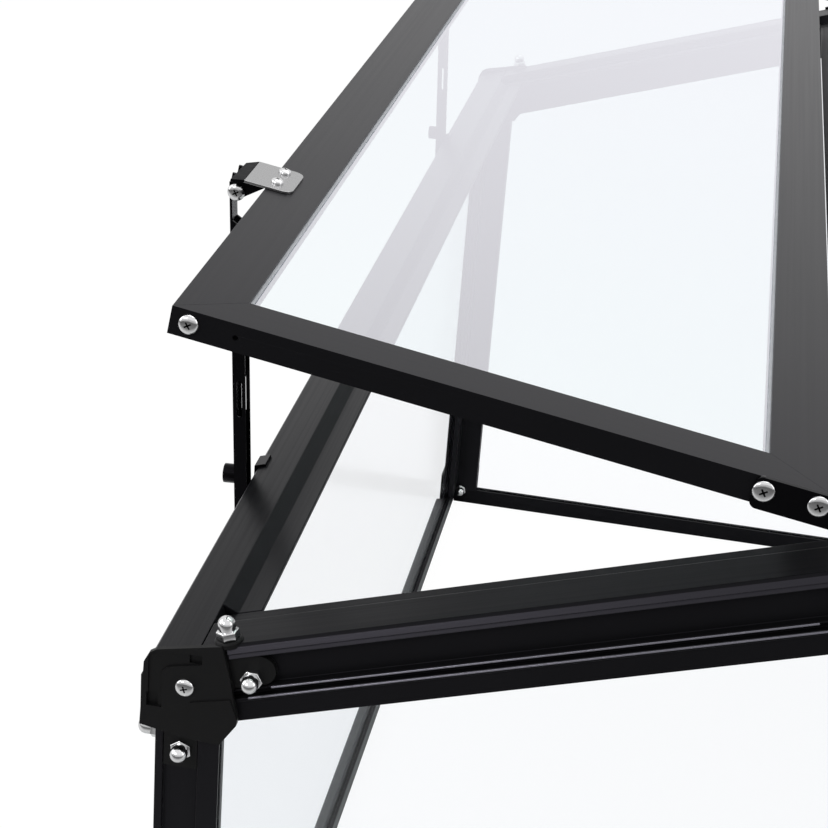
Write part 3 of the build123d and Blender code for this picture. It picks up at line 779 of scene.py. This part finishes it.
edge_highlight = edge_highlight_finish("pale_edge_highlight")
HIGHLIGHT_REACH = (0.267, 1.116, 1)
HIGHLIGHT_WIDTH = 0.0022
HIGHLIGHT_TALL = 0.0009
HIGHLIGHT_MIDDLE = on_lid(0.1655, 0, 0.0122)
# one painted-highlight strip round each lid pane
for side, across in SIDES:
    shape = bmesh.new()
    bmesh.ops.create_grid(shape, x_segments=1, y_segments=1, size=0.5)
    bmesh.ops.scale(shape, verts=shape.verts, vec=HIGHLIGHT_REACH)
    ring = bmesh.ops.inset_region(
        shape, faces=shape.faces[:], thickness=HIGHLIGHT_WIDTH, depth=0, use_boundary=True)
    inner = [f for f in shape.faces if f not in ring["faces"]]
    bmesh.ops.delete(shape, geom=inner, context="FACES")
    raised = bmesh.ops.extrude_face_region(shape, geom=shape.faces[:])
    lifted = [v for v in raised["geom"] if isinstance(v, bmesh.types.BMVert)]
    bmesh.ops.translate(shape, verts=lifted, vec=(0, 0, HIGHLIGHT_TALL))
    middle = mirrored(HIGHLIGHT_MIDDLE, across, 1)
    tilt = Matrix.Rotation(-LID_TILT * across, 4, "Y")
    bmesh.ops.transform(shape, matrix=Matrix.Translation(middle) @ tilt, verts=shape.verts)
    make_piece("lid_edge_highlight_" + side, shape, edge_highlight, "lid_" + side)
print("edge highlight strips placed")

# %% [markdown]
# The surround is full white to the camera and to reflections, and a calmer white as
# a light source, so the black coat keeps its depth. Low on the near side the room is
# darker in both, which gives the bright nuts their dark bands.

# %% Surround
WHITE = (1, 1, 1, 1)
world = bpy.data.worlds.new("studio")
bpy.context.scene.world = world
world.use_nodes = True
world.node_tree.nodes.clear()
seen = add_node(world, "ShaderNodeBackground", Color=WHITE)
lit = add_node(world, "ShaderNodeBackground", Strength=0.55)
path = add_node(world, "ShaderNodeLightPath")
direction = add_node(world, "ShaderNodeTexCoord")
parts = add_node(world, "ShaderNodeSeparateXYZ")
join(world, direction.outputs["Generated"], parts.inputs["Vector"])


def larger(one, other):
    most = add_node(world, "ShaderNodeMath", operation="MAXIMUM")
    join(world, one, most.inputs[0])
    join(world, other, most.inputs[1])
    return most.outputs["Value"]


from_near = spread(world, parts.outputs["Y"], 0.6, 1.0, start=-0.75, end=-0.35)
from_above = spread(world, parts.outputs["Z"], 0.0, 1.0, start=0.1, end=0.35)
join(world, larger(from_near, from_above), seen.inputs["Strength"])
looked_at = larger(path.outputs["Is Camera Ray"], path.outputs["Is Transmission Ray"])
blend = add_node(world, "ShaderNodeMixShader")
join(world, larger(looked_at, path.outputs["Is Glossy Ray"]), blend.inputs["Fac"])
join(world, lit.outputs["Background"], blend.inputs[1])
join(world, seen.outputs["Background"], blend.inputs[2])
world_out = add_node(world, "ShaderNodeOutputWorld")
join(world, blend.outputs["Shader"], world_out.inputs["Surface"])

# %% [markdown]
# The floor is pale paper. To the camera it is nearly all glow, so that it runs into
# the white surround, and the rest of it keeps the object's shadow. In reflections it
# is dark towards the near side of the room.

# %% Floor
def floor_finish(name):
    finish = new_finish(name)
    paper = add_node(finish, "ShaderNodeBsdfDiffuse")
    parts = add_node(finish, "ShaderNodeSeparateXYZ")
    join(finish, own_place(finish), parts.inputs["Vector"])
    room = spread(finish, parts.outputs["Y"], 0.25, 0.92, start=-1.6, end=-0.9)
    path = add_node(finish, "ShaderNodeLightPath")
    shade = add_node(finish, "ShaderNodeMix", data_type="RGBA")
    shade.inputs[6].default_value = (0.92, 0.92, 0.92, 1)
    join(finish, room, shade.inputs[7])
    join(finish, path.outputs["Is Glossy Ray"], shade.inputs["Factor"])
    join(finish, shade.outputs[2], paper.inputs["Color"])
    glow = add_node(finish, "ShaderNodeEmission", Strength=1.045)
    share = add_node(finish, "ShaderNodeMath", operation="MULTIPLY")
    share.inputs[1].default_value = 0.93
    join(finish, path.outputs["Is Camera Ray"], share.inputs[0])
    mixed = add_node(finish, "ShaderNodeMixShader")
    join(finish, share.outputs["Value"], mixed.inputs["Fac"])
    join(finish, paper.outputs["BSDF"], mixed.inputs[1])
    join(finish, glow.outputs["Emission"], mixed.inputs[2])
    show(finish, mixed.outputs["Shader"])
    return finish


shape = bmesh.new()
bmesh.ops.create_grid(shape, x_segments=1, y_segments=1, size=30.0)
floor = show_object("floor", as_mesh("floor", shape))
floor.data.materials.append(floor_finish("pale_floor"))

# %% [markdown]
# Four soft lamps light the part: a large one overhead, one at each side, and a small
# one at the front left that draws the bright lines along the ribs, and along the beads
# together with the highlight painted on their edges.

# %% Lamps
def soft_lamp(name, place, target, size, power):
    """An area lamp at a place, turned to a target."""
    data = bpy.data.lights.new(name, "AREA")
    data.shape = "RECTANGLE"
    data.size = size[0]
    data.size_y = size[1]
    data.energy = power
    lamp = bpy.data.objects.new(name, data)
    direction = Vector(target) - Vector(place)
    turned = direction.to_track_quat("-Z", "Y").to_matrix().to_4x4()
    lamp.matrix_world = Matrix.Translation(Vector(place)) @ turned
    bpy.context.scene.collection.objects.link(lamp)


soft_lamp("overhead", (0.3, 0.6, 3.2), (0, 0, 0.4), (2.6, 2.6), 34)
soft_lamp("left_side", (-2.8, -0.8, 1.6), (0, 0, 0.5), (1.4, 1.8), 14)
soft_lamp("right_side", (2.8, -0.8, 1.9), (0, 0, 0.5), (1.4, 1.8), 12)
soft_lamp("front_left", (-1.55, -2.4, 1.85), (-0.3, -0.6, 0.55), (0.7, 0.4), 12)
bpy.context.scene.view_settings.view_transform = "Standard"
print("studio lit")
